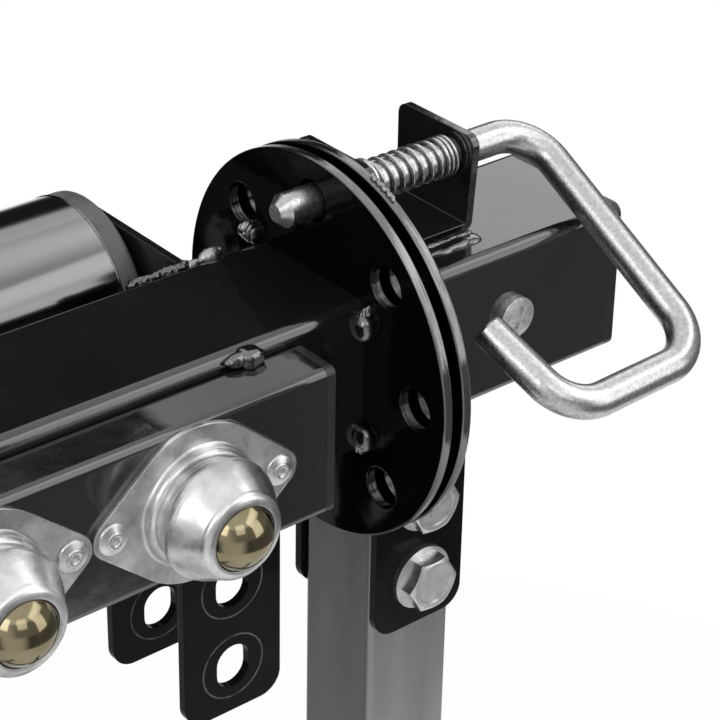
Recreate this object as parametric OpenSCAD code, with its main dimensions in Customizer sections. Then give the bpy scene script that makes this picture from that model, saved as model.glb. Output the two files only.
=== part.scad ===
// Adjustable support stand with a turning head: a row of ball transfer
// units on one side, a roller on another and a bare tube face on a third.
// Millimetres, +Z up, origin on the floor under the middle of the base.

/* [Heights] */
// Height of the head's turning axis above the floor
axis_height = 720; // [700:5:760]
// Top of the outer column above the floor
column_top = 500; // [470:5:520]
// Lower end of the sliding post above the floor
post_foot = 150; // [140:5:200]

/* [Base] */
// Length of the base, along the head
base_length = 540; // [500:10:640]
// Width of the base, across the head
base_width = 460; // [400:10:560]
// Side of the square cross feet
foot_tube_size = 40; // [36:1:46]
// Wall of the square cross feet
foot_tube_wall = 2.5; // [2:0.5:3]
// Width of the rail between the feet
rail_width = 60; // [56:1:70]
// Wall of the rail
rail_wall = 3; // [2:0.5:4]
// Distance from the base's right end to the middle of the column
column_inset = 100; // [90:5:120]
// Diameter of a rubber foot at the floor
pad_diameter = 36; // [30:1:38]
// Height of a rubber foot
pad_height = 10; // [8:1:16]
// Distance from a tube's end to the middle of a rubber foot
pad_inset = 26; // [22:1:40]

/* [Column and post] */
// Side of the outer column
column_size = 50; // [50:1:52]
// Wall of the outer column
column_wall = 3; // [2.5:0.5:3]
// Side of the sliding post
post_size = 40; // [36:1:40]
// Wall of the sliding post
post_wall = 2; // [1.5:0.5:3]
// Outer corner radius of the sliding post
post_corner = 3; // [2.5:0.5:4]
// Length of the guide sleeve inside the column
guide_sleeve = 30; // [20:1:36]
// Thickness of the guide's rim on top of the column
guide_rim = 6; // [4:1:10]

/* [Clamp] */
// Distance from the column's top down to the clamp screw
clamp_drop = 52; // [50:1:80]
// Thread diameter of the clamp screw
clamp_screw_d = 10; // [8:1:12]
// Diameter of the welded boss
boss_diameter = 22; // [20:1:28]
// Length of the welded boss
boss_length = 16; // [12:1:24]
// Diameter over the lobes of the clamp knob
knob_diameter = 50; // [44:1:60]
// Thickness of the clamp knob
knob_thickness = 20; // [16:1:26]
// Number of lobes on the clamp knob
knob_lobes = 5; // [4:1:7]

/* [Head tubes] */
// Side of the beam and of the fixed stub
head_tube_size = 60; // [58:1:64]
// Wall of the beam and of the stub
head_tube_wall = 3; // [2:0.5:4]
// Outer corner radius of the tubes
tube_corner = 4; // [3:0.5:5]
// Length of the turning beam
beam_length = 400; // [396:2:420]
// Length of the fixed stub tube
stub_length = 107.2; // [105:0.1:120]
// Height of the side tube that carries the ball units
side_tube_height = 57; // [56:1:60]
// Depth of the side tube
side_tube_depth = 21; // [20:1:26]
// Wall of the side tube
side_tube_wall = 2; // [1.5:0.5:3]
// Outer corner radius of the side tube
side_tube_corner = 3; // [2.5:0.5:4]
// How far the side tube's top lies below the beam's top
side_tube_drop = 5.4; // [0:0.2:8]
// Distance from the disc to the side tube's right end
side_tube_setback = 29.9; // [26:0.1:32]
// Distance from the beam's left end to the side tube's left end
side_tube_inset = 7; // [2:1:10]
// Thickness of the plastic end caps' rims
cap_rim = 3.5; // [2:0.5:5]
// Length of an end cap inside its tube
cap_depth = 12; // [8:1:15]

/* [Index discs] */
// Diameter of both index discs
disc_diameter = 145.3; // [143:0.1:150]
// Thickness of each disc
disc_thickness = 3.9; // [3:0.1:5]
// Gap between the turning disc and the fixed disc
disc_gap = 4.4; // [3:0.1:6]
// Rounding of the discs' rims
disc_edge = 0.8; // [0.4:0.1:1.2]
// Radius of the circle of index holes
index_radius = 57; // [55:0.5:59]
// Diameter of an index hole
index_hole_d = 16; // [14:0.5:17]
// Number of index holes
index_count = 8; // [8:8:8]

/* [Pivot] */
// Diameter of the pivot shaft
shaft_diameter = 30; // [26:1:34]
// Length of each pivot bush
bush_length = 22; // [16:1:24]
// Distance from the fixed disc to the retaining screw
retainer_offset = 57.3; // [56:0.1:64]
// How far the retaining screw lies above the head's axis
retainer_rise = 1.6; // [0:0.1:2]
// Thread diameter of the retaining screw
retainer_d = 8; // [6:1:8]
// Head diameter of the retaining screw
retainer_head_d = 15.8; // [14:0.2:17]
// Head height of the retaining screw
retainer_head_h = 4.2; // [3:0.1:6]
// Height of the dome on the retaining screw's head
retainer_dome_h = 1; // [0.5:0.1:2]
// Depth of the groove that the retaining screw runs in
groove_depth = 3; // [2:0.5:4]

/* [Plunger bracket] */
// Length of the bracket along the pin
pin_bracket_length = 50; // [46:1:52]
// Gap between the fixed disc and the bracket
pin_bracket_gap = 3.6; // [2:0.2:5]
// Sheet thickness of the bracket
pin_bracket_t = 3; // [2.5:0.5:4]
// Reach of an ear in front of the pin
ear_front = 12.9; // [11:0.1:16]
// How far an ear's foot stands back from its front edge
ear_lean = 2.6; // [0:0.1:4]
// Reach of an ear behind the pin
ear_back = 28.4; // [20:0.1:29]
// Reach of an ear above the pin
ear_top = 10.7; // [10:0.1:14]
// Rounding of an ear's upper corners
ear_corner = 4.5; // [3:0.5:6]

/* [Lock pin and handle] */
// Diameter of the pin and its handle
pin_diameter = 12.4; // [11:0.1:13]
// Reach of the pin beyond the turning disc
pin_reach = 16.2; // [12:0.1:20]
// Length of the pin's tapered tip
pin_taper = 3.6; // [2:0.1:5]
// Diameter of the pin's flat end
pin_end_d = 6.6; // [5:0.1:9]
// Angle of the handle below the horizontal
handle_lean = 31.8; // [26:0.1:33]
// Radius of the handle's bends along the middle of the rod
handle_bend = 18; // [15:0.5:20]
// Handle corner at the pin, distance right of the turning disc
handle_near_x = 100.8; // [96:0.1:106]
// Handle's outer corner, distance right of the turning disc
handle_far_x = 106.9; // [100:0.1:112]
// Handle's outer corner, distance from the pin
handle_far_out = 106; // [100:0.5:116]
// Handle's inner corner, distance right of the turning disc
handle_inner_x = 41.2; // [38:0.1:46]
// Handle's inner corner, distance from the pin
handle_inner_out = 107.9; // [102:0.1:116]
// Handle's free end, distance right of the turning disc
handle_end_x = 31.2; // [28:0.1:36]
// Handle's free end, distance from the pin
handle_end_out = 67.5; // [60:0.5:72]

/* [Spring] */
// Wire diameter of the return spring
spring_wire = 1.4; // [1:0.1:1.5]
// Radius of the coils at the corners of the wound form
spring_radius = 7.75; // [7.7:0.05:8.2]
// Number of open coils
spring_open = 7; // [5:1:8]
// Number of close coils at the fixed end
spring_close = 3; // [2:1:3]
// Gap between the close coils
spring_close_gap = 0.55; // [0.5:0.05:0.8]
// Thickness of the spring's washer
washer_t = 1.5; // [1:0.1:2]
// Outer diameter of the spring's washer
washer_d = 18; // [17.5:0.5:20]
// Diameter of the roll pin that holds the washer
roll_pin_d = 3; // [2.5:0.5:3.5]

/* [Post brackets] */
// Width of a bracket along the head
bracket_width = 42.4; // [40:0.1:46]
// Length of a bracket's legs below the tube
bracket_leg = 92.4; // [90:0.1:100]
// Sheet thickness of a bracket
bracket_t = 3.5; // [3:0.5:4]
// Outer bend radius of a bracket
bracket_bend = 6; // [5:0.5:7]
// Rounding of the legs' lower corners
bracket_corner = 9; // [6:1:12]
// Play between a bracket's leg and the post
bracket_play = 0.7; // [0.4:0.1:1]
// Distance from the turning disc to the middle of the fixed bracket
fixed_bracket_x = 33.8; // [33.7:0.1:38]
// Distance from the turning disc to the middle of the spare socket
socket_x = 53.7; // [50:0.1:60]
// Width of a bolt slot
slot_width = 14.2; // [13:0.1:15]
// Height of a bolt slot
slot_height = 17.8; // [17:0.1:20]
// Distance from the tube down to the upper slot
slot_drop = 37.9; // [36:0.1:42]
// Distance between the two slots
slot_pitch = 35; // [34:0.1:36]

/* [Bolts] */
// Thread diameter of the post bolts
bolt_d = 12; // [10:1:12]
// Diameter of the post's bolt holes
bolt_hole_d = 13; // [12.5:0.1:13.5]
// Diameter of a bolt's flange
bolt_flange_d = 26; // [24:1:28]
// Thickness of a bolt's flange
bolt_flange_t = 2.4; // [2:0.2:3]
// Width across flats of the hexagons
bolt_hex = 20; // [18:0.5:21]
// How far the bolts sit above the middle of their slots
bolt_rise = 2; // [0:0.1:2]
// Height of a bolt's hexagon above its flange
bolt_hex_h = 7; // [5:0.2:8]
// Height of a nut with its flange
nut_height = 11; // [9:1:13]

/* [Roller] */
// Diameter of the roller
roller_diameter = 73; // [68:1:78]
// Wall of the roller tube
roller_wall = 2; // [1.5:0.5:3]
// Distance from the head's axis to the roller's axis
roller_offset = 85; // [82:1:90]
// Length of the plastic end caps beside the tube
roller_cap_length = 9; // [6:0.5:12]
// Rounding of the end caps
roller_cap_edge = 2.5; // [1.5:0.5:4]
// Thickness of the roller's end plates
roller_plate_t = 3; // [2.5:0.5:4]
// Distance from the disc to the right end plate
roller_plate_setback = 31.5; // [28:0.5:34]
// Distance from the beam's left end to the left end plate
roller_plate_inset = 14; // [13:1:20]
// Gap between an end plate and the roller
roller_gap = 1.8; // [1:0.2:3]
// Reach of an end plate beyond the roller's axis
roller_plate_reach = 19; // [16:1:24]
// Rounding of the end plates' outer corners
roller_plate_corner = 10; // [6:1:14]
// Diameter of the roller's axle
axle_diameter = 12; // [10:1:14]
// Outer diameter of a roller bearing
bearing_diameter = 32; // [28:1:36]
// Width of a roller bearing
bearing_width = 10; // [8:1:12]

/* [Ball units] */
// Diameter of a transfer ball
ball_diameter = 25.4; // [24.8:0.1:25.6]
// Number of ball units
ball_units = 4; // [4:1:4]
// Gap between the flanges of neighbouring ball units
unit_gap = 0.4; // [0.3:0.1:4]
// Distance from the disc to the first ball unit
ball_first = 88.3; // [84:0.1:92]
// How far the ball units lie below the head's axis
ball_drop = 4.7; // [2:0.1:6]
// Height of a ball unit from the tube to the top of its ball
unit_height = 34.3; // [33.5:0.1:36]
// Diameter of a flange's middle
flange_diameter = 58; // [55:0.5:60]
// Radius of a flange's ends
flange_end = 7.4; // [6.5:0.1:8]
// Distance between a flange's rivets
rivet_pitch = 66.2; // [65:0.1:70]
// Thickness of a flange
flange_t = 1.8; // [1.4:0.1:2.2]
// Sheet thickness of a housing
shell_t = 1.2; // [1:0.1:1.4]
// Radius of a housing's drawn ring
ring_radius = 21.3; // [21:0.1:21.8]
// Height of a housing's drawn ring
ring_height = 6.2; // [5:0.1:7]
// Radius of a housing's waist
waist_radius = 18.6; // [18:0.1:18.8]
// Radius at which a housing's flare and cone would meet without their rounding
shoulder_radius = 22.4; // [21.6:0.1:23]
// Height at which a housing's flare and cone would meet
shoulder_height = 13.2; // [12:0.1:14]
// Radius at which a housing's cone ends and its lip starts
lip_radius = 15.8; // [15:0.1:16.4]
// Depth of a housing's rounded lip
lip_depth = 2.8; // [2:0.1:3.4]
// Diameter of a support ball
support_ball_d = 3.2; // [3:0.1:3.4]
// Number of support balls in a unit's ring
support_balls_ring = 8; // [6:1:10]
// Diameter of a rivet's head
rivet_head_d = 11.5; // [10:0.5:12.5]
// Height of a rivet's head
rivet_head_h = 1.6; // [1.2:0.1:2]
// Diameter of a rivet's shank
rivet_d = 5; // [4:0.5:6]

/* [Clearances] */
// Radial clearance of turning and sliding shafts
running = 0.06; // [0.03:0.01:0.08]
// Clearance round inserts, caps and sliders
insert_fit = 0.25; // [0.2:0.05:0.35]
// Clearance of bolts, screws and rivets in plain holes
hole_play = 0.3; // [0.2:0.1:0.5]

/* [Hidden] */
$fn = 64;

// One overrun for every cut
over = 1;
// Smallest inner corner of a tube, as a share of the outer one
least_corner_share = 0.25;
// Finishes
black = [0.06, 0.06, 0.065];
zinc = [0.78, 0.78, 0.76];
grey_plastic = [0.35, 0.35, 0.36];

// Base
foot_top = pad_height + foot_tube_size;
foot_x = (base_length - foot_tube_size) / 2;
foot_tube_length = base_width - 2 * cap_rim;
column_x = base_length / 2 - column_inset;
pad_y = foot_tube_length / 2 - pad_inset;
pad_top_share = 0.8;
pad_screw_d = 6;
pad_screw_head_d = 11;
pad_screw_head_h = 3;
pad_floor = 4;
pad_wall_share = 0.5;
gusset_t = 5;
gusset_reach = 34;
gusset_rise = 60;

// Column and post
column_bore = column_size - 2 * column_wall;
sleeve_out = column_bore - 2 * insert_fit;
sleeve_in = post_size + 2 * insert_fit;
slider_height = 12;
slider_plug = 20;
post_bore = post_size - 2 * post_wall;
clamp_z = column_top - clamp_drop;
clamp_tip_gap = 0.3;
clamp_screw_out = 12;
knob_hub_share = 0.8;
knob_lobe_share = 0.17;
knob_skirt = 5;
knob_cover_share = 0.6;
clamp_tip_x = column_x + post_size / 2 + clamp_tip_gap;
knob_x = column_x + column_size / 2 + boss_length + clamp_screw_out;

// Head: x = 0 is the turning disc's left face, the axis is y = z = 0
head_x = column_x - fixed_bracket_x;
half_tube = head_tube_size / 2;
post_top = axis_height - half_tube - bracket_bend - insert_fit;
bracket_gap = post_size + 2 * bracket_play;
bracket_out = bracket_gap + 2 * bracket_t;
hex_top_share = 0.95;
head_dish = 0.5;
head_dish_share = 0.76;
stub_disc_x = disc_thickness + disc_gap;
stub_x = stub_disc_x + disc_thickness;
tube_bore = head_tube_size - 2 * head_tube_wall;
side_tube_z = half_tube - side_tube_drop - side_tube_height / 2;
side_tube_y = -half_tube - side_tube_depth / 2;
side_face_y = -half_tube - side_tube_depth;
side_tube_right = -side_tube_setback - cap_rim;
side_tube_left = -beam_length + side_tube_inset + cap_rim;

// Pivot
front_bush_x = stub_x + insert_fit;
rear_bush_x = stub_x + stub_length - cap_depth - insert_fit - bush_length;
shaft_end = rear_bush_x + bush_length;
groove_x = stub_x + retainer_offset;
groove_play = 1.2;
groove_width = retainer_d + groove_play;
retainer_tip_gap = 0.4;
retainer_thread = half_tube - (shaft_diameter / 2 - groove_depth) - retainer_tip_gap;
retainer_nut_w = 14;
retainer_nut_h = 6;
recess_w = 1.9;
recess_turn = 20;
recess_reach_share = 0.3;
recess_depth = 2.2;

// Plunger
ear_x = stub_x + pin_bracket_gap;
far_ear_x = ear_x + pin_bracket_length - pin_bracket_t;
pin_hole_d = pin_diameter + 2 * running;
roll_pin_x = ear_x + pin_bracket_t + insert_fit + roll_pin_d / 2;
roll_pin_end_gap = 0.5;
roll_pin_length = washer_d - 2 * roll_pin_end_gap;
bend_swell = 0.02;
bend_overlap = 0.5;
handle_end_taper = 0.8;
washer_x = roll_pin_x + roll_pin_d / 2 + insert_fit;
handle_path = [
    [-pin_reach, 0],
    [handle_near_x, 0],
    [handle_far_x, handle_far_out],
    [handle_inner_x, handle_inner_out],
    [handle_end_x, handle_end_out]
];

// Spring: an end runs straight into what it meets, then the wire winds
spring_rings = 8;
spring_sides = 6;
spring_x0 = washer_x + washer_t;
spring_x1 = far_ear_x;
spring_turns = spring_open + spring_close;
close_pitch = spring_wire + spring_close_gap;
open_pitch = (spring_x1 - spring_x0 - 2 * spring_wire - spring_close * close_pitch) / spring_open;
function spring_run(turn) = turn < spring_open ? turn * open_pitch
    : spring_open * open_pitch + (turn - spring_open) * close_pitch;
function spring_wound(i) = let (turn = i / spring_rings, a = 360 * turn)
    [spring_x0 + spring_wire + spring_run(turn), spring_radius * cos(a), spring_radius * sin(a)];
spring_steps = spring_turns * spring_rings;
spring_line = concat(
    [[spring_x0, spring_radius, 0]],
    [for (i = [0 : spring_steps]) spring_wound(i)],
    [[spring_x1, spring_radius, 0]]
);
function spring_angle(i) = i == 0 ? 0 : i > spring_steps ? 0 : 360 * (i - 1) / spring_rings;
function unit(v) = v / norm(v);
function spring_way(i) = i <= 1 ? [1, 0, 0] : i > spring_steps ? [1, 0, 0]
    : unit(spring_line[i + 1] - spring_line[i - 1]);
function spring_ring(i) = let (
        a = spring_angle(i),
        out = [0, cos(a), sin(a)],
        side = unit(cross(spring_way(i), out))
    )
    [for (k = [0 : spring_sides - 1])
        let (b = 360 * k / spring_sides)
        spring_line[i] + spring_wire / 2 * (cos(b) * out + sin(b) * side)];
spring_last = len(spring_line) - 1;
spring_least = min([for (i = [1 : spring_last - spring_rings - 1])
    for (j = [i + spring_rings - 1 : min(i + spring_rings + 1, spring_last - 1)])
    norm(spring_line[i] - spring_line[j]) - spring_wire]);
echo(spring_least_gap = spring_least);

// Roller
plate_right_x = -roller_plate_setback - roller_plate_t;
plate_left_x = -beam_length + roller_plate_inset;
roller_right = plate_right_x - roller_gap;
roller_left = plate_left_x + roller_plate_t + roller_gap;
roller_tube_right = roller_right - roller_cap_length;
roller_tube_left = roller_left + roller_cap_length;
roller_bore_r = roller_diameter / 2 - roller_wall;
roller_plug = 14;
axle_nut_h = 8;
axle_nut_w = 18;
axle_end = 3;
axle_washer_gap = roller_gap - insert_fit;
axle_collar_r_share = 0.75;
axle_right = plate_right_x + roller_plate_t + axle_nut_h + axle_end;
axle_left = plate_left_x - axle_nut_h - axle_end;

// Ball units
ball_y = side_face_y - unit_height + ball_diameter / 2;
ball_centre_h = unit_height - ball_diameter / 2;
ball_gap = 0.3;
opening_radius = 11.6;
waist_height = 8.2;
lip_flat = 1.1;
lip_control_share = 0.75;
flare_share = 0.6;
cone_share = 0.4;
ball_pitch = rivet_pitch + 2 * flange_end + unit_gap;
opening_h = ball_centre_h + sqrt(pow(ball_diameter / 2, 2) - pow(opening_radius - ball_gap, 2));
ring_fillet = 1.4;
cup_radius = min(waist_radius, shoulder_radius) - shell_t - insert_fit;
cup_bore = ball_diameter / 2 + support_ball_d + ball_gap;
support_ring_tilt = 42;
rivet_core_d = 2.6;
rivet_tail_d = 8;
rivet_tail_h = 2.4;
rivet_edge = 0.6;

function ball_x(i) = -ball_first - (i - 1) * ball_pitch;
function arc(cx, cy, r, a0, a1, n) =
    [for (i = [0 : n]) let (a = a0 + (a1 - a0) * i / n) [cx + r * cos(a), cy + r * sin(a)]];

// Helpers: profiles lie in the plane across the way they are drawn out
module along_x(length) rotate([90, 0, 90]) linear_extrude(length) children();
module along_y(length) translate([0, length, 0]) rotate([90, 0, 0]) linear_extrude(length) children();
module rod_x(r, length) rotate([0, 90, 0]) cylinder(r = r, h = length);
module rod_y(r, length) rotate([-90, 0, 0]) cylinder(r = r, h = length);
module at_head() translate([head_x, 0, axis_height]) children();
module at_pin() translate([0, 0, index_radius]) children();

module rounded_rect(w, h, r) {
    square([w - 2 * r, h], center = true);
    square([w, h - 2 * r], center = true);
    for (x = [-1, 1], y = [-1, 1])
        translate([x * (w / 2 - r), y * (h / 2 - r)]) circle(r = r);
}

function inner_corner(r, wall) = max(r - wall, r * least_corner_share);

module tube_profile(w, h, wall, r) {
    difference() {
        rounded_rect(w, h, r);
        rounded_rect(w - 2 * wall, h - 2 * wall, inner_corner(r, wall));
    }
}

// A plastic cap whose rim covers a tube's end and whose skirt goes inside
module tube_cap(w, h, wall, r) {
    linear_extrude(cap_rim) rounded_rect(w, h, r);
    translate([0, 0, -cap_depth]) linear_extrude(cap_depth)
        tube_profile(w - 2 * wall - 2 * insert_fit, h - 2 * wall - 2 * insert_fit, wall,
            r);
}

module hexagon(flats) circle(r = flats / sqrt(3), $fn = 6);

// Base
module base_rail() color(black) {
    length = base_length - 2 * foot_tube_size;
    translate([-length / 2, 0, pad_height + foot_tube_size / 2])
        along_x(length) tube_profile(rail_width, foot_tube_size, rail_wall, tube_corner);
}

module foot_tube(side) color(black) {
    difference() {
        translate([side * foot_x, -foot_tube_length / 2, pad_height + foot_tube_size / 2])
            along_y(foot_tube_length)
            tube_profile(foot_tube_size, foot_tube_size, foot_tube_wall, tube_corner);
        for (y = [-1, 1])
            translate([side * foot_x, y * pad_y, pad_height - over])
                cylinder(d = pad_screw_d + hole_play, h = foot_tube_wall + 2 * over);
    }
}

module foot_end_caps() color(black) {
    for (x = [-1, 1], y = [-1, 1])
        translate([x * foot_x, y * foot_tube_length / 2, pad_height + foot_tube_size / 2])
            rotate([-90 * y, 0, 0])
            tube_cap(foot_tube_size, foot_tube_size, foot_tube_wall, tube_corner);
}

module rubber_pad() {
    rotate_extrude() polygon([
        [pad_screw_d / 2 + hole_play, pad_floor],
        [pad_screw_head_d / 2 + hole_play, pad_floor],
        [pad_screw_head_d / 2 + hole_play, 0],
        [pad_diameter / 2, 0],
        [pad_diameter / 2, pad_height * (1 - pad_wall_share)],
        [pad_diameter / 2 * pad_top_share, pad_height],
        [pad_screw_d / 2 + hole_play, pad_height]
    ]);
}

module rubber_feet() color([0.05, 0.05, 0.05]) {
    for (x = [-1, 1], y = [-1, 1]) translate([x * foot_x, y * pad_y, 0]) rubber_pad();
}

module foot_screws() color(zinc) {
    for (x = [-1, 1], y = [-1, 1]) translate([x * foot_x, y * pad_y, 0]) {
        translate([0, 0, pad_floor - pad_screw_head_h])
            cylinder(d = pad_screw_head_d, h = pad_screw_head_h);
        translate([0, 0, pad_floor])
            cylinder(d = pad_screw_d, h = pad_height + foot_tube_wall);
    }
}

module outer_column() color(black) {
    difference() {
        translate([column_x, 0, foot_top]) linear_extrude(column_top - foot_top)
            tube_profile(column_size, column_size, column_wall, tube_corner);
        translate([column_x, 0, clamp_z])
            rod_x(clamp_screw_d / 2 + hole_play, column_size);
    }
}

module column_gussets() color(black) {
    for (side = [-1, 1])
        translate([column_x + side * column_size / 2, -gusset_t / 2, foot_top])
            along_y(gusset_t)
            polygon([
                [0, 0],
                [side * gusset_reach, 0],
                [side * gusset_reach, gusset_t],
                [side * gusset_t, gusset_rise],
                [0, gusset_rise]
            ]);
}

module column_guide() color(black) {
    difference() {
        union() {
            translate([column_x, 0, column_top]) linear_extrude(guide_rim)
                rounded_rect(column_size, column_size, tube_corner);
            translate([column_x, 0, column_top - guide_sleeve]) linear_extrude(guide_sleeve)
                rounded_rect(sleeve_out, sleeve_out, inner_corner(tube_corner, column_wall));
        }
        translate([column_x, 0, column_top - guide_sleeve - over])
            linear_extrude(guide_sleeve + guide_rim + 2 * over)
            rounded_rect(sleeve_in, sleeve_in, post_corner);
    }
}

module clamp_boss() color(black) {
    translate([column_x + column_size / 2, 0, clamp_z]) difference() {
        rod_x(boss_diameter / 2, boss_length);
        translate([-over, 0, 0]) rod_x(clamp_screw_d / 2 + running, boss_length + 2 * over);
    }
}

module clamp_screw() color(zinc) {
    translate([clamp_tip_x, 0, clamp_z])
        rod_x(clamp_screw_d / 2, knob_x + knob_thickness * knob_cover_share - clamp_tip_x);
}

module clamp_knob() color([0.08, 0.08, 0.08]) {
    lobe_r = knob_diameter * knob_lobe_share;
    bore_r = clamp_screw_d / 2 + running;
    bore_length = knob_thickness * knob_cover_share + insert_fit;
    translate([knob_x, 0, clamp_z]) {
        translate([-knob_skirt, 0, 0]) along_x(knob_skirt) difference() {
            circle(d = boss_diameter);
            circle(r = bore_r);
        }
        along_x(bore_length) difference() {
            knob_profile(lobe_r);
            circle(r = bore_r);
        }
        translate([bore_length, 0, 0]) along_x(knob_thickness - bore_length)
            knob_profile(lobe_r);
    }
}

module knob_profile(lobe_r) {
    circle(d = knob_diameter * knob_hub_share);
    for (i = [0 : knob_lobes - 1]) rotate(360 * i / knob_lobes)
        translate([0, knob_diameter / 2 - lobe_r]) circle(r = lobe_r);
}

// Mast
module bolt_heights() {
    for (i = [0, 1])
        translate([fixed_bracket_x, 0, -half_tube - slot_drop - i * slot_pitch + bolt_rise])
        children();
}

module inner_post() color(zinc) {
    difference() {
        translate([column_x, 0, post_foot]) linear_extrude(post_top - post_foot)
            tube_profile(post_size, post_size, post_wall, post_corner);
        at_head() bolt_heights()
            translate([0, -post_size / 2 - over, 0]) rod_y(bolt_hole_d / 2, post_size + 2 * over);
    }
}

module post_slider() color(grey_plastic) {
    translate([column_x, 0, post_foot - slider_height]) {
        linear_extrude(slider_height)
            rounded_rect(sleeve_out, sleeve_out, post_corner);
        linear_extrude(slider_height + slider_plug)
            rounded_rect(post_bore - 2 * insert_fit, post_bore - 2 * insert_fit,
                inner_corner(post_corner, post_wall));
    }
}

module slot(length) {
    along_y(length) {
        square([slot_width, slot_height - slot_width], center = true);
        for (s = [-1, 1]) translate([0, s * (slot_height - slot_width) / 2])
            circle(d = slot_width);
    }
}

// A folded bracket under a tube, with two slotted legs
module folded_bracket() {
    difference() {
        intersection() {
            translate([-bracket_width / 2, 0, -half_tube - bracket_leg / 2])
                along_x(bracket_width) difference() {
                    translate([0, -bracket_leg / 2])
                        rounded_rect(bracket_out, 2 * bracket_leg, bracket_bend);
                    translate([0, -bracket_leg / 2 - bracket_t])
                        rounded_rect(bracket_gap, 2 * bracket_leg, bracket_bend - bracket_t);
                }
            translate([0, -bracket_out, -half_tube - bracket_leg / 2])
                along_y(2 * bracket_out) {
                    rounded_rect(bracket_width, bracket_leg, bracket_corner);
                    translate([0, bracket_leg / 4])
                        square([bracket_width, bracket_leg / 2], center = true);
                }
        }
        for (i = [0, 1])
            translate([0, -bracket_out, -half_tube - slot_drop - i * slot_pitch])
                slot(2 * bracket_out);
    }
}

module post_bracket() color(black) at_head() translate([fixed_bracket_x, 0, 0]) folded_bracket();

// A hexagon with its corners turned down at the far face
module bolt_head(flats, height) {
    intersection() {
        linear_extrude(height) hexagon(flats);
        cylinder(r1 = flats / 2 * hex_top_share + height * tan(60),
            r2 = flats / 2 * hex_top_share, h = height);
    }
}

module post_bolts() color(zinc) at_head() bolt_heights() {
    translate([0, -bracket_out / 2, 0]) {
        rotate([90, 0, 0]) {
            cylinder(d = bolt_flange_d, h = bolt_flange_t);
            translate([0, 0, bolt_flange_t]) difference() {
                bolt_head(bolt_hex, bolt_hex_h);
                translate([0, 0, bolt_hex_h - head_dish])
                    cylinder(d = bolt_hex * head_dish_share, h = head_dish + over);
            }
        }
        rod_y(bolt_d / 2, bracket_out + nut_height + bolt_flange_t);
    }
}

module post_nuts() color(zinc) at_head() bolt_heights() {
    translate([0, bracket_out / 2, 0]) rotate([-90, 0, 0]) difference() {
        union() {
            cylinder(d = bolt_flange_d, h = bolt_flange_t);
            translate([0, 0, bolt_flange_t])
                bolt_head(bolt_hex, nut_height - bolt_flange_t);
        }
        translate([0, 0, -over]) cylinder(r = bolt_d / 2 + running, h = nut_height + 2 * over);
    }
}

module stub_tube() color(black) at_head() {
    difference() {
        translate([stub_x, 0, 0]) along_x(stub_length)
            tube_profile(head_tube_size, head_tube_size, head_tube_wall, tube_corner);
        translate([groove_x, -half_tube - over, retainer_rise])
            rod_y(retainer_d / 2 + hole_play, head_tube_wall + 2 * over);
    }
}

module stub_end_cap() color(black) at_head() {
    translate([stub_x + stub_length, 0, 0]) rotate([0, 90, 0])
        tube_cap(head_tube_size, head_tube_size, head_tube_wall, tube_corner);
}

// A disc with softened rims and a ring of index holes
module index_disc(bore) {
    r = disc_diameter / 2;
    difference() {
        rotate([0, 90, 0]) rotate_extrude() polygon(concat(
            [[bore, 0]],
            arc(r - disc_edge, disc_edge, disc_edge, -90, 0, 4),
            arc(r - disc_edge, disc_thickness - disc_edge, disc_edge, 0, 90, 4),
            [[bore, disc_thickness]]
        ));
        for (i = [0 : index_count - 1]) rotate([360 * i / index_count, 0, 0])
            translate([-over, 0, index_radius]) rod_x(index_hole_d / 2, disc_thickness + 2 * over);
    }
}

module stub_disc() color(black) at_head()
    translate([stub_disc_x, 0, 0]) index_disc(shaft_diameter / 2 + hole_play);

module pivot_bush(x) color(grey_plastic) at_head() {
    difference() {
        translate([x, 0, 0]) along_x(bush_length)
            rounded_rect(tube_bore - 2 * insert_fit, tube_bore - 2 * insert_fit, tube_corner);
        translate([x - over, 0, 0]) rod_x(shaft_diameter / 2 + running, bush_length + 2 * over);
    }
}

module retaining_screw() color(zinc) at_head() translate([groove_x, -half_tube, retainer_rise]) {
    side_h = retainer_head_h - retainer_dome_h;
    dome_r = (pow(retainer_head_d / 2, 2) + pow(retainer_dome_h, 2)) / (2 * retainer_dome_h);
    difference() {
        union() {
            intersection() {
                translate([0, dome_r - retainer_head_h, 0]) sphere(r = dome_r);
                translate([0, -retainer_head_h, 0]) rod_y(retainer_head_d / 2, retainer_dome_h);
            }
            translate([0, -side_h, 0]) rod_y(retainer_head_d / 2, side_h);
        }
        for (a = [0, 90]) rotate([0, recess_turn + a, 0])
            translate([0, -retainer_head_h + (recess_depth - over) / 2, 0])
            cube([retainer_head_d * 2 * recess_reach_share, recess_depth + over, recess_w],
                center = true);
    }
    rod_y(retainer_d / 2, retainer_thread);
}

module retaining_nut() color(zinc) at_head() {
    translate([groove_x, -half_tube + head_tube_wall, retainer_rise]) difference() {
        along_y(retainer_nut_h) square([retainer_nut_w, retainer_nut_w], center = true);
        translate([0, -over, 0]) rod_y(retainer_d / 2 + running, retainer_nut_h + 2 * over);
    }
}

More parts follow.
